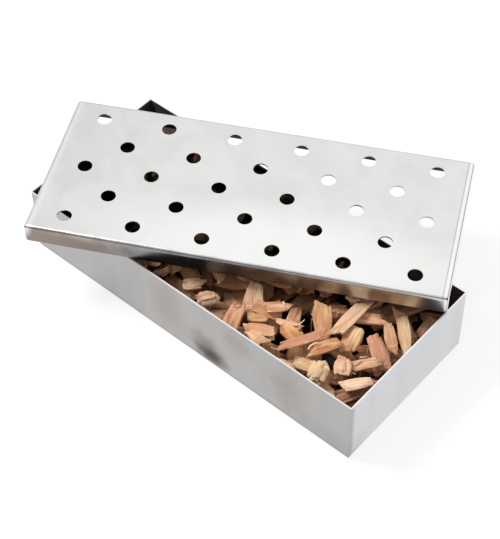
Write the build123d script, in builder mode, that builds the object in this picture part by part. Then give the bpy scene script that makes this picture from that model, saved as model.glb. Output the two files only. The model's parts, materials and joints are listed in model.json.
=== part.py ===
from build123d import *
import os
from math import ceil, cos, floor, pi, radians, sin

import numpy as np
from scipy.spatial import ConvexHull

# Grill smoker box: an open tray of folded stainless sheet, full of wood chips, with a loose vented lid
# lying skew across its rim. Millimetres, +X along the tray, +Z up, origin under the middle of the tray.

# Sheet metal
sheet = 0.8
tray_length = 220.0
tray_width = 94.5
tray_height = 43.5
tray_bend = 2.0
tray_corner = 1.0

# Lid: it would slip over the tray with lid_gap to spare on each side, and here lies skew on the rim
lid_gap = 0.5
lid_depth = 10.5
lid_bend = 2.0
lid_turn = 27.5
lid_along_share = -0.0505
lid_across_share = 0.2275
lid_rest_gap = 0.1

# Vent holes in staggered rows, with the outermost centres this far in from the lid's edges
vent_diameter = 8.0
vent_end_margin = 18.8
vent_side_margin = 12.05
vent_columns = 6
vent_rows = 5

# A middling wood chip, and the room left round each one
chip_length = 19.5
chip_width = 8.3
chip_thickness = 3.6
chip_gap = 0.12

# How far below the rim the heap ends, how far the bed does where the chips that show still go on it,
# and the hollow at the far right corner
heap_below_rim = 3.0
open_bed_below_rim = 18.0
hollow_depth = 20.0
hollow_reach = 48.0
filler_below_heap = 5.0

# Sizes that follow from these
inner_length = tray_length - 2 * sheet
inner_width = tray_width - 2 * sheet
inner_bend = tray_bend - sheet
lid_length = tray_length + 2 * (lid_gap + sheet)
lid_width = tray_width + 2 * (lid_gap + sheet)
lid_x = lid_along_share * tray_length
lid_y = lid_across_share * tray_width
lid_ahead = (cos(radians(lid_turn)), sin(radians(lid_turn)))
lid_foot = Plane(
    origin=(lid_x, lid_y, tray_height + lid_rest_gap),
    x_dir=(lid_ahead[0], lid_ahead[1], 0),
    z_dir=(0, 0, 1),
)
lid_top = lid_foot.offset(lid_depth)
vent_pitch = (lid_length - 2 * vent_end_margin) / (vent_columns - 1)
vent_row_pitch = (lid_width - 2 * vent_side_margin) / (vent_rows - 1)
heap_top = tray_height - heap_below_rim
open_bed_top = tray_height - open_bed_below_rim


# Tray: one folded blank, its upright corners welded and ground

def folded_block(length, width, base, bend, corner):
    """A block up to the rim, with bent lower edges and upright corners: three profiles cut one another."""
    height = tray_height - base
    with BuildPart() as block:
        with BuildSketch(Plane.XY.offset(base)):
            RectangleRounded(length, width, corner)
        extrude(amount=height)
        for side, span, reach in ((Plane.XZ, length, width), (Plane.YZ, width, length)):
            with BuildSketch(side.shift_origin((0, 0, base))) as profile:
                Rectangle(span, height, align=(Align.CENTER, Align.MIN))
                fillet(profile.vertices().group_by(Axis.Y)[0], bend)
            extrude(amount=reach, both=True, mode=Mode.INTERSECT)
    return block.part


with BuildPart() as tray:
    add(folded_block(tray_length, tray_width, 0, tray_bend, tray_corner))
    add(
        folded_block(inner_length, inner_width, sheet, inner_bend, tray_corner - sheet),
        mode=Mode.SUBTRACT,
    )


# Lid: one pressed sheet, open below, with staggered vent holes

with BuildPart() as lid:
    with BuildSketch(lid_foot):
        RectangleRounded(lid_length, lid_width, lid_bend)
    extrude(amount=lid_depth)
    fillet(lid.faces().sort_by(Axis.Z)[-1].edges(), lid_bend)
    offset(amount=-sheet, openings=lid.faces().sort_by(Axis.Z)[0])
    with BuildSketch(lid_top):
        with GridLocations(vent_pitch, 2 * vent_row_pitch, vent_columns, (vent_rows + 1) // 2):
            Circle(vent_diameter / 2)
        with GridLocations(vent_pitch, 2 * vent_row_pitch, vent_columns - 1, vent_rows // 2):
            Circle(vent_diameter / 2)
    extrude(amount=-lid_bend, mode=Mode.SUBTRACT)


# Wood chips: each is a convex split piece, dropped and settled on the heap of those before it

section_shares = (-0.5, 0, 0.5)
end_width_shares = (0.68, 1.0)
end_thickness_shares = (0.35, 0.9)
corner_share = 0.12
slant_share = 0.2
ragged_share = 0.03


def chip_corners(long_share, wide_share, thick_share, sides):
    """Corners of a chip along X: three sections of so many sides, the end ones smaller and cut on a slant."""
    turn = (np.arange(sides) + 0.5) * 2 * pi / sides
    round_out = 1 / cos(pi / sides)
    sections = []
    for section_share in section_shares:
        is_end = section_share != 0
        width_share = rng.uniform(*end_width_shares) if is_end else 1
        thickness_share = rng.uniform(*end_thickness_shares) if is_end else 1
        slant = rng.uniform(-slant_share, slant_share) if is_end else 0
        y = np.cos(turn) * round_out * width_share + rng.uniform(-corner_share, corner_share, sides)
        z = np.sin(turn) * round_out * thickness_share + rng.uniform(-corner_share, corner_share, sides)
        x = section_share + slant * y + rng.uniform(-ragged_share, ragged_share, sides)
        sections.append(np.column_stack([x, y / 2, z / 2]))
    size = np.array([chip_length * long_share, chip_width * wide_share, chip_thickness * thick_share])
    return np.vstack(sections) * size


def turned(corners, heading, pitch, roll):
    """Roll the chip about its grain, pitch its nose up, then head it round in plan; all in degrees."""
    h, p, r = radians(heading), radians(pitch), radians(roll)
    about_z = np.array([[cos(h), -sin(h), 0], [sin(h), cos(h), 0], [0, 0, 1]])
    about_y = np.array([[cos(p), 0, -sin(p)], [0, 1, 0], [sin(p), 0, cos(p)]])
    about_x = np.array([[1, 0, 0], [0, cos(r), -sin(r)], [0, sin(r), cos(r)]])
    return corners @ (about_z @ about_y @ about_x).T


def scattered(chip, heading, pitch, roll, heading_scatter, tilt_scatter, easing=1):
    """The chip turned about as asked: easing lays a steep one flatter."""
    swing = rng.uniform(-1, 1, 3) * (heading_scatter, tilt_scatter, tilt_scatter)
    return turned(chip, heading + swing[0], pitch * easing + swing[1], roll * easing + swing[2])


# The heap's height over a grid of the tray's inside. The cell is small enough that two chips, each with
# its room, can't meet between the grid's points.
cell_share = 1.35
cell = cell_share * chip_gap
cells = (round(inner_length / cell), round(inner_width / cell))
grid_x = np.linspace(-inner_length / 2, inner_length / 2, cells[0] + 1)
grid_y = np.linspace(-inner_width / 2, inner_width / 2, cells[1] + 1)
steepest_rise = 1e6


def fold_height(from_wall):
    """How high the rounded fold stands above the floor at a distance from the wall, less one cell."""
    into_fold = np.clip(inner_bend - np.maximum(from_wall - cell, 0), 0, inner_bend)
    return inner_bend - np.sqrt(inner_bend**2 - into_fold**2)


heap = sheet + np.maximum(
    fold_height(inner_length / 2 - abs(grid_x))[:, None],
    fold_height(inner_width / 2 - abs(grid_y))[None, :],
)


def shadow(corners, step):
    """Cells under a chip grown by its room, and its lowest and highest surface over each of them."""
    planes = ConvexHull(corners).equations
    reach = chip_gap - planes[:, 3]
    low_corner = corners.min(axis=0) - chip_gap
    high_corner = corners.max(axis=0) + chip_gap
    stride = cell * step
    i = np.arange(ceil(low_corner[0] / stride), floor(high_corner[0] / stride) + 1)
    j = np.arange(ceil(low_corner[1] / stride), floor(high_corner[1] / stride) + 1)
    x = (i * stride)[:, None, None]
    y = (j * stride)[None, :, None]
    room = reach - x * planes[:, 0] - y * planes[:, 1]
    rise = planes[:, 2]
    upward, downward = rise > 1 / steepest_rise, rise < -1 / steepest_rise
    upright = ~(upward | downward)
    high = np.minimum((room[:, :, upward] / rise[upward]).min(axis=2), high_corner[2])
    low = np.maximum((room[:, :, downward] / rise[downward]).max(axis=2), low_corner[2])
    inside = (high >= low) & (room[:, :, upright] >= 0).all(axis=2)
    return i * step, j * step, np.where(inside, low, np.inf), np.where(inside, high, -np.inf)


def places(corners, centre, spread, count):
    """Grid places drawn round a centre, each moved in until the whole chip is inside the walls."""
    found = []
    for axis, span in enumerate((inner_length, inner_width)):
        drawn = centre[axis] + rng.uniform(-1, 1, count) * spread[axis]
        least = ceil((chip_gap - corners[:, axis].min()) / cell) + 1
        most = cells[axis] - ceil((chip_gap + corners[:, axis].max()) / cell) - 1
        found.append(np.clip(np.round((drawn + span / 2) / cell).astype(int), least, most))
    return list(zip(*found))


def landing(under, place):
    """Height at which a chip's own origin comes to rest above a place of the heap."""
    i, j, low, _ = under
    return (heap[np.ix_(place[0] + i, place[1] + j)] - low).max()


coarse_cell_count = 3
crest_share = 0.35
finalist_count = 3


def settle(options, limit, must_land):
    """Lay the chip where it comes to rest lowest with its crest under the limit, and return its corners.

    One that must land goes where it is least over the limit, if it stays under it nowhere."""
    tries = []
    for corners, spots in options:
        under = shadow(corners, coarse_cell_count)
        crest = corners[:, 2].max() + chip_gap
        for place in spots:
            height = landing(under, place)
            over = max(height + crest - limit[place], 0)
            rest = height + corners[:, 2].mean() + crest_share * crest
            if must_land or over == 0:
                tries.append((over, rest, len(tries), corners, place))
    for _, _, _, corners, place in sorted(tries, key=lambda one: one[:3])[:finalist_count]:
        under = shadow(corners, 1)
        height = landing(under, place)
        if must_land or height + corners[:, 2].max() + chip_gap < limit[place]:
            patch = np.ix_(place[0] + under[0], place[1] + under[1])
            heap[patch] = np.maximum(heap[patch], height + under[3])
            return corners + np.array([grid_x[place[0]], grid_y[place[1]], height])
    return None


any_heading = 180
pour_tilt = 30
pour_turn_count = 4
pour_place_count = 28
pour_low_shares = (0.8, 0.85, 0.8)
pour_high_shares = (1.4, 1.25, 1.35)
pour_side_counts = (4, 4, 4, 5)


def pour(limit, first_size_share, last_size_share, most_misses):
    """Drop chips anywhere in the tray, coarse ones first, until no more go in below the limit."""
    anywhere = (inner_length / 2, inner_width / 2)
    laid = []
    misses = 0
    while misses < most_misses:
        filled = np.clip(heap / limit, 0, 1).mean()
        size_share = first_size_share + (last_size_share - first_size_share) * filled
        shares = rng.uniform(pour_low_shares, pour_high_shares) * size_share
        chip = chip_corners(*shares, sides=rng.choice(pour_side_counts))
        options = []
        for _ in range(pour_turn_count):
            lying = scattered(chip, 0, 0, 0, any_heading, pour_tilt)
            options.append((lying, places(lying, (0, 0), anywhere, pour_place_count)))
        corners = settle(options, limit, must_land=False)
        if corners is None:
            misses += 1
        else:
            misses = 0
            laid.append(corners)
    return laid


# The bed fills the tray under the lid, less a hollow in the far right corner, and lies low in the open part
past_x = grid_x[:, None] - lid_x
past_y = grid_y[None, :] - lid_y
behind_lid_edge = past_y * lid_ahead[0] - past_x * lid_ahead[1] + lid_width / 2
from_corner = np.hypot(grid_x[:, None] - inner_length / 2, grid_y[None, :] - inner_width / 2)
hollow = hollow_depth * np.clip(1 - from_corner / hollow_reach, 0, 1)
bed_limit = np.where(behind_lid_edge > chip_length / 2, heap_top, open_bed_top) - hollow
bed_first_size_share = 1.4
bed_last_size_share = 0.95
bed_misses = 25
rng = np.random.default_rng(8)
bed = pour(bed_limit, bed_first_size_share, bed_last_size_share, bed_misses)

# Chips that show: place as shares of the tray's inside, then heading, pitch and roll in degrees, then
# length, width and thickness as shares of the middling chip, and the sides of its section. Lowest first.
top_chip_shares = (
    (0.03, -0.13, 25, 0, 0, 2.2, 0.6, 0.8, 4),
    (0.25, 0.07, 50, 0, 25, 1.2, 1.2, 0.9, 4),
    (0.33, 0.175, 48, 0, 20, 0.9, 0.8, 0.9, 4),
    (0.445, 0.36, 93, 10, 10, 0.9, 0.9, 0.9, 4),
    (0.35, 0.105, 36, 0, 15, 1.0, 0.8, 0.8, 4),
    (0.27, -0.005, 54, 0, 10, 0.6, 0.6, 0.8, 4),
    (0.3, 0.125, -7, 15, 0, 0.5, 0.5, 0.6, 4),
    (0.45, 0.06, 25, 0, 10, 0.7, 0.7, 0.9, 4),
    (0.44, -0.055, 85, 0, 10, 0.7, 0.7, 0.9, 4),
    (0.4, 0.23, 150, 38, 0, 1.3, 0.95, 0.9, 4),
    (0.44, 0.25, 131, 38, 0, 1.3, 0.8, 0.9, 4),
    (0.43, 0.09, 137, 28, 0, 1.0, 0.8, 0.8, 4),
    (0.42, -0.025, 145, 22, 0, 1.25, 1.1, 0.9, 4),
    (0.27, -0.075, 128, 34, 0, 1.3, 1.15, 0.9, 4),
    (0.17, -0.075, 112, 30, 0, 1.1, 1.0, 0.9, 4),
    (0.1, -0.19, 122, 34, 0, 1.2, 1.3, 0.9, 4),
    (0.15, -0.21, 8, 0, 30, 1.0, 0.9, 0.8, 4),
    (0.175, -0.18, 40, 0, 20, 0.8, 0.7, 0.8, 4),
    (0.225, -0.2, 20, 0, 15, 0.9, 0.5, 0.5, 4),
    (0.36, -0.07, 108, 15, 0, 0.85, 1.2, 1.0, 6),
    (0.42, -0.14, 55, 0, 20, 0.95, 0.7, 0.8, 4),
    (0.265, -0.385, 70, 0, 20, 0.7, 0.7, 0.8, 4),
    (0.02, -0.395, 120, 28, 0, 0.8, 0.9, 0.8, 4),
    (-0.03, -0.36, 48, 0, 20, 0.7, 0.9, 0.9, 4),
    (-0.075, -0.43, 20, 0, 10, 0.7, 0.8, 0.8, 4),
    (0.06, -0.39, 36, 0, 20, 0.6, 0.7, 0.9, 4),
    (0.095, -0.36, 99, 20, 20, 0.95, 0.95, 0.9, 4),
    (0.115, -0.365, 107, 20, 10, 0.85, 0.7, 0.9, 4),
    (0.24, -0.255, -3, 0, 30, 0.9, 0.9, 0.8, 4),
    (0.155, -0.33, 37, 0, 20, 0.7, 0.6, 0.8, 4),
    (0.18, -0.35, 31, 0, 20, 1.0, 0.8, 0.8, 4),
    (0.19, -0.41, -3, 0, 10, 0.65, 0.7, 0.8, 4),
    (0.055, -0.325, 53, 0, 0, 0.75, 1.2, 2.0, 7),
    (0.245, -0.4, 16, 0, 10, 0.85, 1.1, 1.5, 6),
    (0.395, -0.24, 128, 12, 0, 0.7, 1.1, 1.2, 6),
    (0.45, -0.395, 58, 0, 10, 0.8, 0.7, 0.9, 4),
    (0.39, -0.41, 1, 0, 10, 0.6, 0.6, 0.8, 4),
    (0.465, -0.355, 62, 0, 0, 1.4, 1.0, 1.6, 6),
    (0.32, -0.38, 18, 0, 15, 0.85, 0.9, 0.8, 4),
    (0.33, -0.21, 59, 0, 22, 1.0, 0.9, 0.8, 4),
    (0.305, -0.33, 66, 0, 25, 1.45, 0.65, 0.9, 4),
    (0.37, -0.36, 110, 12, 0, 0.8, 1.3, 1.9, 7),
    (0.445, -0.3, 57, 0, 10, 0.85, 0.8, 0.8, 4),
    (0.33, -0.015, 94, 4, 0, 1.3, 0.85, 0.5, 4),
)
shown_swing = 4
shown_turn_count = 4
shown_place_count = 20
shown_try_count = 6
easing_share = 0.7
nudge_share = 0.25
heap_limit = heap_top - hollow
shown = []
for along, across, heading, pitch, roll, long_share, wide_share, thick_share, sides in top_chip_shares:
    chip = chip_corners(long_share, wide_share, thick_share, sides)
    centre = (along * inner_length, across * inner_width)
    corners = None
    tried = 0
    while corners is None:
        easing = easing_share**tried
        spread = [nudge_share * chip_width / easing] * 2
        options = []
        for _ in range(shown_turn_count):
            lying = scattered(chip, heading, pitch, roll, shown_swing, shown_swing, easing)
            options.append((lying, places(lying, centre, spread, shown_place_count)))
        corners = settle(options, heap_limit, must_land=tried == shown_try_count)
        tried += 1
    shown.append(corners)

# Small chips fall into the deepest gaps that are left
filler_size_share = 0.68
filler_misses = 12
bed += pour(heap_limit - filler_below_heap, filler_size_share, filler_size_share, filler_misses)


# Every piece to its own STEP file

def chips_of(heaped):
    """The solids of some chips, where they lie."""
    with BuildPart() as chips:
        for corners in heaped:
            ConvexPolyhedron([tuple(corner) for corner in corners])
    return chips


def write(piece, name):
    piece.part.label = name
    export_step(piece.part, f"parts/{name}.step")


os.makedirs("parts", exist_ok=True)
write(tray, "tray")
write(lid, "lid")
for number, corners in enumerate(shown, 1):
    write(chips_of([corners]), f"wood_chip_{number:02d}")

bed_columns = 6
for column in range(bed_columns):
    for row, row_name in enumerate(("near", "far")):
        group = [
            corners
            for corners in bed
            if floor((corners[:, 0].mean() / inner_length + 0.5) * bed_columns) == column
            and (corners[:, 1].mean() > 0) == row
        ]
        write(chips_of(group), f"chip_bed_{column + 1}_{row_name}")
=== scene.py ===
import json

import bpy
import numpy as np
from mathutils import Matrix, Vector


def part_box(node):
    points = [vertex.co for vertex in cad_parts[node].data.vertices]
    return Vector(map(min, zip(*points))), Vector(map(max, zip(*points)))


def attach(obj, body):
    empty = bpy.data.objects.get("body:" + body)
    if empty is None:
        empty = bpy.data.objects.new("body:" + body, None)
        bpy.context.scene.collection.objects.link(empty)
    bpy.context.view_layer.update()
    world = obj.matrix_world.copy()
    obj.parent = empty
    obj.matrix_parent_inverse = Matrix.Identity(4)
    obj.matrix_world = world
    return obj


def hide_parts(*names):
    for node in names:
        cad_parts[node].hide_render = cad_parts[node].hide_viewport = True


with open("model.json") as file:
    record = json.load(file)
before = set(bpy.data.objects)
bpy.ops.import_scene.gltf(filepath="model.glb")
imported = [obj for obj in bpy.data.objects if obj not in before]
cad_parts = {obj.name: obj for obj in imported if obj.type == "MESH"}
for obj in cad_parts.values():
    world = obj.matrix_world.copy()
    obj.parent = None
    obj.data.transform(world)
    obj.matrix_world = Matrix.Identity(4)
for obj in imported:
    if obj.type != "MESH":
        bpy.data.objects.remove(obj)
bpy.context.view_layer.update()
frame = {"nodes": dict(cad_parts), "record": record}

# The picture: a camera above the near right corner, at the photograph's angle, 0.8 m from the rim's middle.
# Its lens is given for an image 539 pixels tall, the frame's long side.
camera_place = Vector((0.350847, -0.389056, 0.647008))
camera_right = Vector((0.75734781, 0.65288741, -0.01274067))
camera_up = Vector((-0.49500746, 0.58671392, 0.64088562))
focal_pixels = 1528.58
frame_height_pixels = 539
sensor_mm = 36
nearest_seen, farthest_seen = 0.01, 20


def put_in_scene(name, data):
    """A new object that shows the given data, at the origin."""
    thing = bpy.data.objects.new(name, data)
    bpy.context.scene.collection.objects.link(thing)
    return thing


camera_data = bpy.data.cameras.new("camera")
camera_data.sensor_width = sensor_mm
camera_data.lens = focal_pixels * sensor_mm / frame_height_pixels
camera_data.clip_start = nearest_seen
camera_data.clip_end = farthest_seen
camera = put_in_scene("camera", camera_data)
camera_back = camera_right.cross(camera_up).normalized()
camera_turn = Matrix((camera_right, camera_up, camera_back)).transposed()
camera.matrix_world = Matrix.Translation(camera_place) @ camera_turn.to_4x4()
bpy.context.scene.camera = camera
bpy.context.scene.view_settings.view_transform = "Standard"

# The floor and the light: a pale sheet under an even world, a large soft lamp behind the box and a small one
# at its left. The camera and mirrors see the floor white, less the object's faint shadow.
floor_half = 12.0
floor_grey = (0.22, 0.22, 0.22, 1)
floor_roughness = 0.9
floor_gloss = 0.1
floor_glow = 0.81
white = (1, 1, 1, 1)
world_strength = 0.55
lamp_aim = Vector((0, 0, 0.03))


def new_material(name):
    """A new material, its nodes and links, and its shader."""
    material = bpy.data.materials.new(name)
    material.use_nodes = True
    tree = material.node_tree
    return material, tree.nodes, tree.links, tree.nodes["Principled BSDF"]


def node_in(nodes, kind, **settings):
    """A new node with its settings."""
    node = nodes.new(kind)
    for name, value in settings.items():
        setattr(node, name, value)
    return node


def math_node(tree, operation, first, second=0.0):
    """A Math node on two sockets or numbers; returns its output."""
    node = node_in(tree.nodes, "ShaderNodeMath", operation=operation)
    for slot, value in enumerate((first, second)):
        if isinstance(value, bpy.types.NodeSocket):
            tree.links.new(value, node.inputs[slot])
        else:
            node.inputs[slot].default_value = value
    return node.outputs[0]


def lamp(name, place, side, watts):
    """A square lamp with sides in metres, aimed at the box."""
    data = bpy.data.lights.new(name, "AREA")
    data.shape = "SQUARE"
    data.size = side
    data.energy = watts
    light = put_in_scene(name, data)
    light.location = place
    light.rotation_euler = (lamp_aim - Vector(place)).to_track_quat("-Z", "Y").to_euler()


floor_mesh = bpy.data.meshes.new("floor")
floor_corners = [(x * floor_half, y * floor_half, 0) for x, y in ((-1, -1), (1, -1), (1, 1), (-1, 1))]
floor_mesh.from_pydata(floor_corners, [], [(0, 1, 2, 3)])
floor = put_in_scene("floor", floor_mesh)
floor_paint, nodes, links, shader = new_material("floor_paint")
shader.inputs["Base Color"].default_value = floor_grey
shader.inputs["Roughness"].default_value = floor_roughness
shader.inputs["Specular IOR Level"].default_value = floor_gloss
shader.inputs["Emission Color"].default_value = white
path = nodes.new("ShaderNodeLightPath")
seen = path.outputs["Is Camera Ray"]
for ray in ("Is Glossy Ray", "Is Transmission Ray"):
    seen = math_node(floor_paint.node_tree, "MAXIMUM", seen, path.outputs[ray])
glow = math_node(floor_paint.node_tree, "MULTIPLY", seen, floor_glow)
links.new(glow, shader.inputs["Emission Strength"])
floor_mesh.materials.append(floor_paint)

world = bpy.data.worlds.new("world")
world.use_nodes = True
sky = world.node_tree.nodes["Background"]
sky.inputs["Color"].default_value = white
sky.inputs["Strength"].default_value = world_strength
bpy.context.scene.world = world

lamp("softbox", (-0.17, 0.92, 1.33), 2.0, 6.2)
lamp("key", (-0.78, -0.36, 1.2), 0.4, 16)

# The tray: one blank of satin stainless sheet, folded up on four sides, its corners welded and ground. The
# outside is clean but for soft marks, painted reflections, painted shade and a painted highlight, and the
# inside is painted dark as painted shade. Scales count noise per metre.
grain_scale = (45, 2600, 2600)
reflection_band_scale = (55, 40, 9)
wave_scale = (16, 9, 9)
cloud_scale = 38.0
mark_scale = 95.0
grain_height = 0.000004
wave_height = 0.0006
blot_scale = 120.0
# Painted shade inside the tray and under the lid: mottled near-black colours, less metallic and rougher
inside_shade_scale = 60.0
inside_shade_dark, inside_shade_light = (0.042, 0.037, 0.033), (0.125, 0.112, 0.101)
metal_lost_to_painted_shade = 0.7
roughness_of_painted_shade = 0.25


def new_group(name, inputs, outputs):
    """A shader node group with its sockets, given as name and kind; returns its tree and end nodes."""
    tree = bpy.data.node_groups.new(name, "ShaderNodeTree")
    for socket, kind in inputs:
        tree.interface.new_socket(socket, in_out="INPUT", socket_type=kind)
    for socket, kind in outputs:
        tree.interface.new_socket(socket, in_out="OUTPUT", socket_type=kind)
    return tree, tree.nodes.new("NodeGroupInput"), tree.nodes.new("NodeGroupOutput")


def noise_node(tree, vector, scale, detail=2.0, roughness=0.5, distortion=0.0):
    """Noise at one scale, or at three that draw it out along an axis; returns its output."""
    if isinstance(scale, tuple):
        drawn_out = node_in(tree.nodes, "ShaderNodeVectorMath", operation="MULTIPLY")
        tree.links.new(vector, drawn_out.inputs[0])
        drawn_out.inputs[1].default_value = scale
        vector, scale = drawn_out.outputs[0], 1.0
    node = tree.nodes.new("ShaderNodeTexNoise")
    node.inputs["Scale"].default_value = scale
    node.inputs["Detail"].default_value = detail
    node.inputs["Roughness"].default_value = roughness
    node.inputs["Distortion"].default_value = distortion
    tree.links.new(vector, node.inputs["Vector"])
    return node.outputs["Fac"]


def ranged(tree, value, low, high, low_out=0.0, high_out=1.0):
    """A value eased from one range into another; returns the output."""
    node = node_in(tree.nodes, "ShaderNodeMapRange", interpolation_type="SMOOTHSTEP")
    for name, number in (("From Min", low), ("From Max", high), ("To Min", low_out), ("To Max", high_out)):
        node.inputs[name].default_value = number
    tree.links.new(value, node.inputs["Value"])
    return node.outputs["Result"]


def weighted_sum(tree, base, *terms):
    """A socket or number plus each term's socket times its weight; returns the output."""
    for value, weight in terms:
        base = math_node(tree, "ADD", base, math_node(tree, "MULTIPLY", value, weight))
    return base


def mixed(tree, share, first, second, blend="MIX"):
    """A colour mix of two sockets or colours; returns its output."""
    node = node_in(tree.nodes, "ShaderNodeMix", data_type="RGBA", blend_type=blend)
    for name, value in (("Factor_Float", share), ("A_Color", first), ("B_Color", second)):
        socket = next(one for one in node.inputs if one.identifier == name)
        if isinstance(value, bpy.types.NodeSocket):
            tree.links.new(value, socket)
        elif name == "Factor_Float":
            socket.default_value = value
        else:
            socket.default_value = (*value, 1)
    return next(one for one in node.outputs if one.identifier == "Result_Color")


def raise_surface(nodes, links, shader, height):
    """Bump by a height in metres."""
    bump = nodes.new("ShaderNodeBump")
    bump.inputs["Distance"].default_value = 1.0
    links.new(height, bump.inputs["Height"])
    links.new(bump.outputs[0], shader.inputs["Normal"])


# Rolled and polished sheet: fine grain along X, cloudy polish, soft painted reflections in bands up and
# down, faint handling marks, and the gentle waves of thin sheet
sheet_finish, group_in, group_out = new_group(
    "sheet_finish",
    [("Vector", "NodeSocketVector")],
    [("Tone", "NodeSocketFloat"), ("Roughness", "NodeSocketFloat"), ("Height", "NodeSocketFloat")],
)
place = group_in.outputs["Vector"]
grain = noise_node(sheet_finish, place, grain_scale, 3.0, 0.6)
clouds = noise_node(sheet_finish, place, cloud_scale, 3.0, 0.55, 0.4)
# Painted reflections: soft bands up and down that lighten and darken the tone
painted_reflection_bands = ranged(sheet_finish, noise_node(sheet_finish, place, reflection_band_scale, 2.0, 0.5, 0.6), 0.3, 0.7)
marks = ranged(sheet_finish, noise_node(sheet_finish, place, mark_scale, 4.0, 0.65, 1.2), 0.56, 0.78)
waves = noise_node(sheet_finish, place, wave_scale, 1.0, 0.4)
tone = weighted_sum(sheet_finish, 0.885, (grain, 0.10), (painted_reflection_bands, 0.07), (clouds, 0.06))
rough = weighted_sum(sheet_finish, 0.22, (clouds, 0.12), (marks, 0.08), (grain, 0.06))
height = weighted_sum(sheet_finish, 0.0, (grain, grain_height), (waves, wave_height))
for output, value in (("Tone", tone), ("Roughness", rough), ("Height", height)):
    sheet_finish.links.new(value, group_out.inputs[output])

# One inside a box about the middle of its own axes and 0 outside it
inside_box, group_in, group_out = new_group(
    "inside_box",
    [("Vector", "NodeSocketVector"), ("Half", "NodeSocketVector")],
    [("Inside", "NodeSocketFloat")],
)
apart = node_in(inside_box.nodes, "ShaderNodeSeparateXYZ")
inside_box.links.new(group_in.outputs["Vector"], apart.inputs[0])
halves = node_in(inside_box.nodes, "ShaderNodeSeparateXYZ")
inside_box.links.new(group_in.outputs["Half"], halves.inputs[0])
inside = 1.0
for axis in range(3):
    distance = math_node(inside_box, "ABSOLUTE", apart.outputs[axis])
    within = math_node(inside_box, "LESS_THAN", distance, halves.outputs[axis])
    inside = math_node(inside_box, "MULTIPLY", inside, within)
inside_box.links.new(inside, group_out.inputs["Inside"])


def steel(name, colour, middle, half, degrees, painted_light):
    """Satin steel with its grain along X turned by some degrees, painted dark as painted shade inside a box
    of the given middle and half sides, and with painted reflections, painted shade and painted highlights at
    places given from that middle as centre, radii, strength, how ragged the edge is, and colour."""
    material, nodes, links, shader = new_material(name)
    tree = material.node_tree
    where = nodes.new("ShaderNodeTexCoord").outputs["Object"]
    local = node_in(nodes, "ShaderNodeMapping", vector_type="TEXTURE")
    local.inputs["Location"].default_value = middle
    local.inputs["Rotation"].default_value = (0, 0, np.radians(degrees))
    links.new(where, local.inputs["Vector"])
    finish = node_in(nodes, "ShaderNodeGroup", node_tree=sheet_finish)
    links.new(local.outputs[0], finish.inputs["Vector"])
    within = node_in(nodes, "ShaderNodeGroup", node_tree=inside_box)
    links.new(local.outputs[0], within.inputs["Vector"])
    within.inputs["Half"].default_value = half
    painted_shade = within.outputs["Inside"]
    base = mixed(tree, 1.0, colour, finish.outputs["Tone"], "MULTIPLY")
    # Each patch mixes a painted reflection, painted shade or a painted highlight into the colour
    for patch_middle, radii, strength, raggedness, tint in painted_light:
        near = node_in(nodes, "ShaderNodeMapping", vector_type="TEXTURE")
        near.inputs["Location"].default_value = patch_middle
        near.inputs["Scale"].default_value = radii
        links.new(local.outputs[0], near.inputs["Vector"])
        far = node_in(nodes, "ShaderNodeVectorMath", operation="LENGTH")
        links.new(near.outputs[0], far.inputs[0])
        blots = noise_node(tree, where, blot_scale, 3.0)
        edge = weighted_sum(tree, far.outputs["Value"], (blots, raggedness))
        base = mixed(tree, ranged(tree, edge, 0.5, 1.5, strength, 0.0), base, tint)
    # Painted shade inside the box: a mottled near black that takes away metal and adds roughness
    inside_shade_mottle = ranged(tree, noise_node(tree, where, inside_shade_scale, 4.0, 0.6), 0.3, 0.75)
    inside_shade_colour = mixed(tree, inside_shade_mottle, inside_shade_dark, inside_shade_light)
    links.new(mixed(tree, painted_shade, base, inside_shade_colour), shader.inputs["Base Color"])
    links.new(weighted_sum(tree, 1.0, (painted_shade, -metal_lost_to_painted_shade)), shader.inputs["Metallic"])
    rough = weighted_sum(tree, finish.outputs["Roughness"], (painted_shade, roughness_of_painted_shade))
    links.new(rough, shader.inputs["Roughness"])
    raise_surface(nodes, links, shader, finish.outputs["Height"])
    return material


def dress(node, material):
    """Gives a CAD node its material."""
    mesh = frame["nodes"][node].data
    mesh.materials.clear()
    mesh.materials.append(material)


tray_low, tray_high = (Vector(corner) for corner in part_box("tray"))
tray_middle = (tray_low + tray_high) / 2
tray_half = (tray_high - tray_low) / 2
tray_colour = (0.67, 0.675, 0.69)
# The box of painted shade begins inside the sheet and ends just below the rim
skin = 0.0005
rim_edge = 0.0001
painted_shade_middle = tray_middle + Vector((0, 0, (skin - rim_edge) / 2))
painted_shade_half = tray_half - Vector((skin, skin, (skin + rim_edge) / 2))
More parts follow.
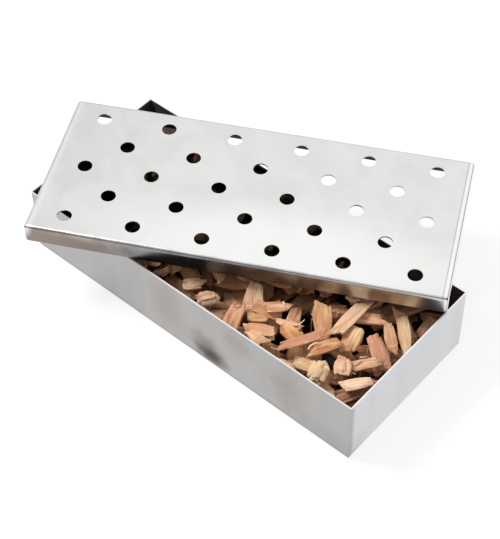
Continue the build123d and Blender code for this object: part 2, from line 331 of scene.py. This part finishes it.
# Painted light on the near wall: painted shade over all of it, three rosy painted reflections, painted grey
# shade low near the right end and along its foot, a dark painted reflection with a darker heart, and a
# painted highlight on the rim
near_wall = -0.04725
painted_wall_shade, painted_rosy_reflection, painted_grey_shade = (0.170, 0.152, 0.128), (0.32, 0.235, 0.185), (0.16, 0.158, 0.152)
painted_dark_reflection, painted_dark_reflection_heart, painted_rim_highlight = (0.22, 0.17, 0.15), (0.06, 0.045, 0.038), (0.97, 0.97, 0.96)
tray_painted_light = (
    ((0, near_wall, 0), (0.4, 0.003, 0.2), 0.48, 0.2, painted_wall_shade),
    ((0.0365, near_wall, 0.012), (0.016, 0.02, 0.016), 0.40, 0.9, painted_rosy_reflection),
    ((0.0700, near_wall, 0.002), (0.020, 0.02, 0.026), 0.48, 0.9, painted_rosy_reflection),
    ((-0.012, near_wall, 0.004), (0.016, 0.02, 0.026), 0.34, 0.7, painted_rosy_reflection),
    ((0.0965, near_wall, -0.014), (0.03, 0.02, 0.010), 0.16, 0.6, painted_grey_shade),
    ((0, near_wall, -0.0218), (0.4, 0.02, 0.0035), 0.35, 0.4, painted_grey_shade),
    ((0.0150, near_wall, -0.0080), (0.0140, 0.02, 0.0110), 0.80, 0.7, painted_dark_reflection),
    ((0.0180, near_wall, -0.0145), (0.0130, 0.02, 0.0075), 0.95, 0.6, painted_dark_reflection_heart),
    ((0, 0, tray_half.z + 0.0003), (0.5, 0.5, 0.0006), 0.95, 0.0, painted_rim_highlight),
)
dress("tray", steel("tray_steel", tray_colour, painted_shade_middle, painted_shade_half, 0, tray_painted_light))

# The lid: the same sheet pressed into a shallow cover with a short flange and round vents, its grain along
# its own length. It lies loose on the rim, turned from the tray, and its underside is painted dark as
# painted shade.
lid_low, lid_high = (Vector(corner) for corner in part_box("lid"))
lid_middle = (lid_low + lid_high) / 2
lid_degrees = 27.5
lid_half = Vector((0.1113, 0.04855, (lid_high.z - lid_low.z) / 2))
lid_colour = (0.74, 0.74, 0.73)
# Painted light on the lid: a painted highlight on the top, painted reflections on the near flange (dark blue
# in the middle, warm at the left end, blue grey along most of it), painted highlights on the two end bends
# and a painted dark line by the right one
near_flange = -0.04855
flange_radii = (0.0022, 0.012)
bend_height = 0.007
bend_radii = (0.2, 0.008)
painted_top_highlight, painted_warm_reflection = (0.90, 0.90, 0.885), (0.20, 0.125, 0.085)
painted_blue_reflection, painted_blue_grey_reflection = (0.110, 0.118, 0.135), (0.14, 0.15, 0.175)
painted_right_bend_highlight, painted_left_bend_highlight, painted_bend_dark_line = (0.95, 0.95, 0.95), (0.86, 0.86, 0.90), (0.30, 0.30, 0.29)
lid_painted_light = (
    ((0.025, -0.036, 0.0064), (0.100, 0.028, 0.005), 0.8, 0.2, painted_top_highlight),
    ((-0.012, near_flange, -0.002), (0.074, *flange_radii), 0.88, 0.5, painted_blue_reflection),
    ((-0.100, near_flange, -0.002), (0.060, *flange_radii), 0.80, 0.4, painted_warm_reflection),
    ((0.010, near_flange, -0.002), (0.110, *flange_radii), 0.42, 0.5, painted_blue_grey_reflection),
    ((lid_half.x, 0, bend_height), (0.0029, *bend_radii), 0.9, 0.1, painted_right_bend_highlight),
    ((-lid_half.x, 0, bend_height), (0.0040, *bend_radii), 0.9, 0.1, painted_left_bend_highlight),
    ((lid_half.x - 0.0031, 0, bend_height), (0.0004, *bend_radii), 0.45, 0.1, painted_bend_dark_line),
)
lid_painted_shade_middle = lid_middle - Vector((0, 0, skin))
lid_painted_shade_half = lid_half - Vector((skin, skin, 0))
dress("lid", steel("lid_steel", lid_colour, lid_painted_shade_middle, lid_painted_shade_half, lid_degrees, lid_painted_light))

# The chips that show: pieces of wood split along the grain, loose in the tray. Each is its CAD chip's hull
# with ragged ends, broken layers and ridges along the grain. A cube's surface is thrown onto the hull and
# then only drawn in. A grain is the ridges' length, width and depth, and a knob is a round, pebbly chip.
weld = 1e-6
tiny = 1e-12
most_hops = 40
chip_cells = (48, 20, 9)
usual_bluntness = (5, 12)
knob_bluntness = 4
ridge_grain = (0.010, 0.0011, 0.00024)
knob_grain = (0.0028, 0.0022, 0.00045)
ridge_core = 0.0004
torn_layers = (0.0024, 0.0012)
torn_fibres = (0.0009, 0.0007)
end_slant = 0.24
end_tear = 0.24
most_narrowing = 0.2
layer_end_range = (-0.7, 0.9)
layer_share_range = (0.1, 0.45)
layer_wander = 0.0016
layer_slope = 0.0005
# Painted shade on the chips: darker below a top and behind the lid's near edge, where the heap lies in shade
unshaded_top = 0.022
painted_shade_depth = 0.014
deep_painted_shade = 0.6
lid_shelter = 0.004
lid_painted_shade_depth = 0.028
sharp_degrees = 32
rng = np.random.default_rng(3)


def separate_chips(node):
    """Corners, outward normals and plane offsets of every separate chip of a CAD node."""
    mesh = frame["nodes"][node].data
    mesh.calc_loop_triangles()
    corners = np.empty(len(mesh.vertices) * 3)
    mesh.vertices.foreach_get("co", corners)
    triangles = np.empty(len(mesh.loop_triangles) * 3, dtype=np.int32)
    mesh.loop_triangles.foreach_get("vertices", triangles)
    corners = corners.reshape(-1, 3)
    _, first, same = np.unique(np.round(corners / weld), axis=0, return_index=True, return_inverse=True)
    corners, triangles = corners[first], same.reshape(-1)[triangles].reshape(-1, 3)
    chip_of = np.arange(len(corners))
    for _ in range(most_hops):
        np.minimum.at(chip_of, triangles, chip_of[triangles].min(axis=1)[:, None])
    start, second, third = (corners[triangles[:, n]] for n in range(3))
    normals = np.cross(second - start, third - start)
    area = np.linalg.norm(normals, axis=1)
    chips = []
    for number in np.unique(chip_of):
        own = (chip_of[triangles[:, 0]] == number) & (area > tiny)
        outward = normals[own] / area[own, None]
        chips.append((corners[chip_of == number], outward, (outward * start[own]).sum(axis=1)))
    return chips


def box_grid(cells):
    """Points of a cube's surface from -1 to 1 in even steps, its quads, and which quads face along X."""
    cells = np.array(cells)
    spots, quads, ends = [], [], []
    count = 0
    for axis in range(3):
        first, second = (axis + 1) % 3, (axis + 2) % 3
        for side in (0, cells[axis]):
            i, j = np.meshgrid(np.arange(cells[first] + 1), np.arange(cells[second] + 1), indexing="ij")
            spot = np.empty((*i.shape, 3), dtype=int)
            spot[..., axis], spot[..., first], spot[..., second] = side, i, j
            number = count + np.arange(i.size).reshape(i.shape)
            quad = np.stack([number[:-1, :-1], number[1:, :-1], number[1:, 1:], number[:-1, 1:]], axis=-1)
            quad = quad.reshape(-1, 4)
            quads.append(quad if side else quad[:, ::-1])
            ends.append(np.full(len(quad), float(axis == 0)))
            spots.append(spot.reshape(-1, 3))
            count += i.size
    spots, same = np.unique(np.vstack(spots), axis=0, return_inverse=True)
    return spots / cells * 2 - 1, same.reshape(-1)[np.vstack(quads)], np.concatenate(ends)


def noise(seed, *coordinates):
    """Smooth noise from -1 to 1: random values at whole coordinates, eased between them as 3t^2 - 2t^3. A
    random value is the fraction of a large number times the sine of the coordinates' weighted sum."""
    total = 0
    for corner in np.ndindex(*[2] * len(coordinates)):
        weight, phase = 1, seed * 7.31
        for one, value, step in zip(corner, coordinates, (12.9898, 78.233, 37.719)):
            eased = smooth_step(value - np.floor(value))
            weight = weight * (eased if one else 1 - eased)
            phase = phase + (np.floor(value) + one) * step
        random = np.sin(phase) * 43758.5453
        total = total + weight * (random - np.floor(random))
    return 2 * total - 1


def smooth_step(value):
    """Eased from 0 to 1 as 3t^2 - 2t^3, and level outside them."""
    t = np.clip(value, 0, 1)
    return t * t * (3 - 2 * t)


def rough_chip(corners, normals, offsets, cube, roughness, bluntness):
    """Points of one chip, and the same points along its own grain, width and thickness.

    From the middle m, with half sizes A, B and C along the chip's axes, a cube point p meets the hull at
    m + r (A px a + B py b + C pz c), where r is the least (offset - n.m) / (n.direction) of its planes,
    less where corners are rounded: r (|px|^n + |py|^n + |pz|^n)^(-1/n).
    Then each end is cut obliquely and torn fibre by fibre, x (1 - s |px|^3 - j |px|^5); the chip narrows to
    one end, y (1 - w (1/2 + px/2)^2); the section shrinks by ridges drawn out along the grain, y and z times
    1 - d (1 + ridges) / (distance from the middle line), coarser and deeper on a knob; and beyond a ragged
    line across it each face has lost a share of its layer.
    """
    middle = corners.mean(axis=0)
    axes = np.linalg.svd(corners - middle, full_matrices=False)[2]
    axes[2] = np.cross(axes[0], axes[1])
    half = np.ptp((corners - middle) @ axes.T, axis=0) / 2
    steepness = (cube * half) @ axes @ normals.T
    room = offsets - normals @ middle
    reach = np.where(steepness > tiny, room / np.maximum(steepness, tiny), np.inf).min(axis=1)
    reach = reach * (abs(cube) ** bluntness).sum(axis=1) ** (-1 / bluntness)
    x, y, z = (cube * half * reach[:, None]).T
    seed = rng.uniform(0, 1000)
    layers = noise(seed, y / torn_layers[0], z / torn_layers[1])
    fibres = noise(seed + 9, y / torn_fibres[0], z / torn_fibres[1])
    ragged = 0.5 + 0.3 * layers + 0.2 * fibres
    slant = np.where(cube[:, :1] > 0, rng.uniform(-1, 1, 2), rng.uniform(-1, 1, 2))
    oblique = np.clip(0.5 + 0.6 * (slant * cube[:, 1:]).sum(axis=1), 0, 1)
    torn = end_slant * oblique * abs(cube[:, 0]) ** 3 + end_tear * ragged * abs(cube[:, 0]) ** 5
    x = x * (1 - roughness * torn)
    narrowing = rng.uniform(0, most_narrowing)
    thin_end = rng.choice((-1, 1))
    y = y * (1 - roughness * narrowing * (0.5 + 0.5 * thin_end * cube[:, 0]) ** 2)
    along, across, depth = knob_grain if bluntness < knob_bluntness else ridge_grain
    ridges = noise(seed + 1, x / along, y / across, z / across)
    ridges = ridges + 0.5 * noise(seed + 2, 2.5 * x / along, 1.8 * y / across, 1.8 * z / across)
    radius = np.hypot(y, z) + ridge_core
    section = 1 - roughness * np.clip(depth * (1 + ridges), 0, None) / radius
    y, z = y * section, z * section
    for face in (-1, 1):
        wander = layer_wander * noise(seed + 3 + face, y / layer_wander)
        line = half[0] * rng.uniform(*layer_end_range) + wander
        heading = rng.choice((-1, 1))
        lost = smooth_step((x - line) * heading / layer_slope) * (z * face > 0)
        z = z * (1 - roughness * rng.uniform(*layer_share_range) * lost)
    own = np.column_stack([x, y, z])
    return own @ axes + middle, own


def painted_shade_at(points, least):
    """Painted shade on chips, up to 1 for painted near black: a least share everywhere, more the deeper they
    lie in the heap, full some depth below the top of the unshaded chips, and more the further they lie
    behind the lid's near edge."""
    turn = np.radians(lid_degrees)
    right, back = points[:, 0] - lid_middle.x, points[:, 1] - lid_middle.y
    behind = back * np.cos(turn) - right * np.sin(turn) + lid_half.y
    deep = smooth_step((unshaded_top - points[:, 2]) / painted_shade_depth)
    under = smooth_step((behind - lid_shelter) / lid_painted_shade_depth)
    return least + (1 - least) * np.maximum(deep_painted_shade * deep, under)


def wooden(name, slot, points, faces, grain, tone, ends, painted_shade):
    """A piece of wood that rides the tray, with what its material reads as attributes: the place along and
    across the grain, a tone of its own, which faces are ends, and painted shade."""
    mesh = bpy.data.meshes.new(name)
    mesh.from_pydata(points.tolist(), [], faces.tolist())
    for title, kind, domain, values in (
        ("grain", "FLOAT_VECTOR", "POINT", grain),
        ("tone", "FLOAT", "POINT", tone),
        ("end", "FLOAT", "FACE", ends),
        ("painted_shade", "FLOAT", "POINT", painted_shade),
    ):
        field = "vector" if kind == "FLOAT_VECTOR" else "value"
        mesh.attributes.new(title, kind, domain).data.foreach_set(field, values.ravel())
    mesh.shade_smooth()
    mesh.set_sharp_from_angle(angle=np.radians(sharp_degrees))
    mesh.materials.append(woods[slot])
    piece = put_in_scene(name, mesh)
    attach(piece, "tray")
    return piece


def wood_piece(node, cells, roughness, painted_shade, bluntness=None):
    """One piece standing for a CAD node: its chips, roughened, each as blunt as said or by chance. Returns
    its points."""
    cube, quads, ends = box_grid(cells)
    points, grain, tone, faces = [], [], [], []
    for number, chip in enumerate(separate_chips(node)):
        placed, own = rough_chip(*chip, cube, roughness, bluntness or rng.uniform(*usual_bluntness))
        points.append(placed)
        grain.append(own + rng.uniform(-1, 1, 3))
        tone.append(np.full(len(cube), rng.uniform(0, 1)))
        faces.append(quads + number * len(cube))
    points = np.vstack(points)
    piece = wooden(
        node + "_split", slot_of[node], points, np.vstack(faces), np.vstack(grain), np.concatenate(tone),
        np.tile(ends, len(faces)), painted_shade_at(points, painted_shade),
    )
    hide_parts(node)
    return points


# Split wood along its grain: fibres, streaks, growth rings, heartwood patches and cracks, and a hue that
# hardly changes over a chip but differs from one chip to the next. Scales count noise per metre.
fibre_scale = (260, 4200, 4200)
streak_scale = (70, 1250, 1250)
warp_scale = (40, 160, 160)
patch_scale = (55, 190, 190)
crack_scale = (75, 1500, 1500)
hue_scale = 9.0
ring_tilt = 0.6
ring_radians = 3300.0
ring_warp = 16.0
crack_range = (0.62, 0.74)
relief = 0.00028
split_wood, group_in, group_out = new_group(
    "split_wood",
    [("Grain", "NodeSocketVector")],
    [
        ("Streak", "NodeSocketFloat"), ("Ring", "NodeSocketFloat"), ("Patch", "NodeSocketFloat"),
        ("Crack", "NodeSocketFloat"), ("Hue", "NodeSocketFloat"), ("Height", "NodeSocketFloat"),
    ],
)
place = group_in.outputs["Grain"]
fibre = noise_node(split_wood, place, fibre_scale, 3.0, 0.6)
streak = noise_node(split_wood, place, streak_scale, 3.0, 0.6, 0.3)
warp = noise_node(split_wood, place, warp_scale)
patch = noise_node(split_wood, place, patch_scale, 2.0, 0.5, 0.6)
crack = noise_node(split_wood, place, crack_scale, 3.0, 0.55, 0.5)
hue = ranged(split_wood, noise_node(split_wood, place, hue_scale, 0.0), 0.3, 0.7)
across = node_in(split_wood.nodes, "ShaderNodeSeparateXYZ")
split_wood.links.new(place, across.inputs[0])
ring = weighted_sum(split_wood, across.outputs["Y"], (across.outputs["Z"], ring_tilt))
ring = weighted_sum(split_wood, math_node(split_wood, "MULTIPLY", ring, ring_radians), (warp, ring_warp))
ring = ranged(split_wood, math_node(split_wood, "SINE", ring), -0.2, 1.0)
height = weighted_sum(split_wood, streak, (fibre, 0.5), (ranged(split_wood, crack, *crack_range), -1.0))
height = math_node(split_wood, "MULTIPLY", height, relief)
for output, value in (
    ("Streak", streak), ("Ring", ring), ("Patch", patch), ("Crack", crack), ("Hue", hue), ("Height", height),
):
    split_wood.links.new(value, group_out.inputs[output])

# Tints that multiply the wood's colour, the brown tint of painted shade, and the near black of the deepest
# painted shade
dark_tone, light_tone = (0.78, 0.68, 0.575), (1.05, 1.07, 1.10)
rosy_hue, green_hue = (1.01, 0.95, 0.99), (0.98, 1.02, 0.97)
painted_shade_tint = (0.36, 0.22, 0.145)
painted_black = (0.050, 0.044, 0.040)
end_shade = 0.08
wood_gloss = 0.3


def attribute(nodes, name, output="Fac"):
    """The output of a node that reads a mesh attribute."""
    return node_in(nodes, "ShaderNodeAttribute", attribute_name=name).outputs[output]


def wood(name, pale, deep, heart):
    """Split wood of three colours: its pale ground, its deeper streaks and rings, and heartwood patches."""
    material, nodes, links, shader = new_material(name)
    tree = material.node_tree
    tone, painted_shade = attribute(nodes, "tone"), attribute(nodes, "painted_shade")
    split = node_in(nodes, "ShaderNodeGroup", node_tree=split_wood)
    links.new(attribute(nodes, "grain", "Vector"), split.inputs["Grain"])
    streaks = ranged(tree, split.outputs["Streak"], 0.42, 0.72, 0.0, 0.8)
    colour = mixed(tree, streaks, pale, deep)
    colour = mixed(tree, math_node(tree, "MULTIPLY", split.outputs["Ring"], 0.22), colour, deep)
    hearts = weighted_sum(tree, split.outputs["Patch"], (tone, 0.22))
    colour = mixed(tree, ranged(tree, hearts, 0.52, 0.78, 0.0, 0.75), colour, heart)
    colour = mixed(tree, ranged(tree, split.outputs["Crack"], *crack_range, 0.0, 0.7), colour, heart)
    colour = mixed(tree, 1.0, colour, mixed(tree, tone, dark_tone, light_tone), "MULTIPLY")
    colour = mixed(tree, 1.0, colour, mixed(tree, split.outputs["Hue"], rosy_hue, green_hue), "MULTIPLY")
    end_tint = weighted_sum(tree, 1.0, (attribute(nodes, "end"), -end_shade))
    colour = mixed(tree, 1.0, colour, end_tint, "MULTIPLY")
    # Painted shade: browned where the painted shade attribute rises, near black where it is deepest
    painted_shade_colour = mixed(tree, 1.0, colour, painted_shade_tint, "MULTIPLY")
    colour = mixed(tree, ranged(tree, painted_shade, 0.0, 0.8), colour, painted_shade_colour)
    uneven = weighted_sum(tree, tone, (split.outputs["Patch"], 1.6))
    painted_black_share = ranged(tree, weighted_sum(tree, painted_shade, (uneven, 0.35)), 0.95, 1.5, 0.0, 0.92)
    links.new(mixed(tree, painted_black_share, colour, painted_black), shader.inputs["Base Color"])
    links.new(weighted_sum(tree, 0.68, (streaks, 0.15)), shader.inputs["Roughness"])
    shader.inputs["Specular IOR Level"].default_value = wood_gloss
    raise_surface(nodes, links, shader, split.outputs["Height"])
    return material


woods = {
    "pale_wood": wood("pale_wood", (1.0, 0.79, 0.57), (0.90, 0.57, 0.35), (0.74, 0.38, 0.19)),
    "tan_wood": wood("tan_wood", (0.97, 0.63, 0.39), (0.76, 0.41, 0.21), (0.56, 0.25, 0.11)),
    "red_wood": wood("red_wood", (0.95, 0.60, 0.40), (0.74, 0.37, 0.21), (0.50, 0.20, 0.09)),
    "orange_wood": wood("orange_wood", (0.92, 0.52, 0.27), (0.68, 0.30, 0.12), (0.44, 0.16, 0.055)),
    "bark_wood": wood("bark_wood", (0.60, 0.35, 0.21), (0.34, 0.165, 0.085), (0.17, 0.08, 0.04)),
}
slot_of = {part["node"]: part["material_slot"] for part in frame["record"]["subparts"]}
# How rough the smoother chips are, how blunt the knobs, and how much darker a chip that shows is made, as a
# least share of painted shade
smooth_chips = {
    "wood_chip_44": 0.3, "wood_chip_43": 0.4, "wood_chip_20": 0.5, "wood_chip_36": 0.6,
    "wood_chip_34": 0.6, "wood_chip_11": 0.6, "wood_chip_41": 0.7, "wood_chip_39": 0.5, "wood_chip_24": 0.6,
}
knobs = {"wood_chip_42": 2.6, "wood_chip_35": 3.2, "wood_chip_24": 3.0, "wood_chip_33": 3.4}
darkened_chips = {"wood_chip_33": 0.42}
heap_points = []
for node in sorted(slot_of):
    if node.startswith("wood_chip_"):
        roughness, painted_shade = smooth_chips.get(node, 1.0), darkened_chips.get(node, 0.0)
        heap_points.append(wood_piece(node, chip_cells, roughness, painted_shade, knobs.get(node)))

# Splinters: thin slivers torn off the chips as they were split, loose and curled on top of the heap. Each
# rests on the highest chip points within its reach.
sliver_steps = 28
sliver_width = 0.0008
sliver_thickness = 0.0003
sliver_reach = 0.0011
sliver_tone = 0.9
smoothed_points = 7
heap_top = np.vstack(heap_points)


def sliver(along, across, heading, length, curl, rise):
    """Points of one sliver lying on the heap, its quads and the same points along its own grain.

    Its middle line is an arc, heading(t) = heading + curl (t - 1/2) for t from 0 to 1, at the heap's
    smoothed height plus rise t^2; its section is a flat diamond, narrowed by 1 - 0.8 |2t - 1|^3.
    """
    t = np.linspace(0, 1, sliver_steps + 1)
    way = np.radians(heading + curl * (t - 0.5))
    step = length / sliver_steps
    line = np.column_stack([np.cumsum(np.cos(way)), np.cumsum(np.sin(way))]) * step
    line += np.array([along, across]) - line.mean(axis=0)
    apart = np.hypot(*(line[:, None, :] - heap_top[None, :, :2]).transpose(2, 0, 1))
    below = np.where(apart < sliver_reach, heap_top[None, :, 2], 0).max(axis=1)
    below = np.pad(below, smoothed_points // 2, mode="edge")
    below = np.convolve(below, np.full(smoothed_points, 1 / smoothed_points), mode="valid")
    height = np.maximum(below, np.median(below)) + sliver_thickness + rise * t**2
    narrow = 1 - 0.8 * abs(2 * t - 1) ** 3
    side = np.array([1, 0, -1, 0])[None, :] * narrow[:, None] * sliver_width / 2
    up = np.array([0, 1, 0, -1])[None, :] * narrow[:, None] * sliver_thickness / 2
    points = np.stack([
        line[:, :1] - np.sin(way)[:, None] * side,
        line[:, 1:] + np.cos(way)[:, None] * side,
        height[:, None] + up + 0 * side,
    ], axis=-1)
    number = np.arange(points[..., 0].size).reshape(-1, 4)
    after = np.roll(number, -1, axis=1)
    walls = np.stack([number[:-1], number[1:], after[1:], after[:-1]], axis=-1).reshape(-1, 4)
    quads = np.vstack([walls, number[:1], number[-1:, ::-1]])
    own = np.stack([t[:, None] * length + 0 * side, side, up], axis=-1)
    return points.reshape(-1, 3), quads, own.reshape(-1, 3)


# Where each one lies along and across the tray, its heading, its length, its curl and how far it rises
slivers = (
    (0.0516, -0.0191, 35, 0.012, 120, 0.002), (0.0560, -0.0200, -20, 0.010, -80, 0.001),
    (0.0575, -0.0160, 70, 0.008, 150, 0.002), (0.0840, -0.0139, 140, 0.010, 40, 0.002),
    (0.0884, -0.0144, 20, 0.011, 50, 0.001), (0.0887, -0.0090, 100, 0.009, -40, 0.002),
    (0.0899, -0.0188, 60, 0.008, 70, 0.0005), (0.0865, -0.0311, 10, 0.010, 25, 0.0005),
    (0.0240, -0.0270, 50, 0.009, -50, 0.001), (0.0510, -0.0370, 15, 0.009, 30, 0.0005),
    (0.0685, -0.0261, 80, 0.007, -90, 0.001), (0.0400, -0.0150, 150, 0.010, 40, 0.001),
)
points, faces, grain = [], [], []
for number, row in enumerate(slivers):
    placed, quads, own = sliver(*row)
    points.append(placed)
    faces.append(quads + number * len(placed))
    grain.append(own + rng.uniform(-1, 1, 3))
points, faces = np.vstack(points), np.vstack(faces)
wooden(
    "splinters", "pale_wood", points, faces, np.vstack(grain), np.full(len(points), sliver_tone),
    np.zeros(len(faces)), np.zeros(len(points)),
)

# The bed: the chips below the ones that show and under the lid, of the same split wood, browned by painted
# shade and near black where it is deepest.
# They are plainer, because little of them shows, but made the same way.
bed_cells = (14, 6, 3)
bed_roughness = 1.0
# The least painted shade on every bed chip
bed_painted_shade = 0.25
for node in sorted(slot_of):
    if node.startswith("chip_bed_"):
        wood_piece(node, bed_cells, bed_roughness, bed_painted_shade)
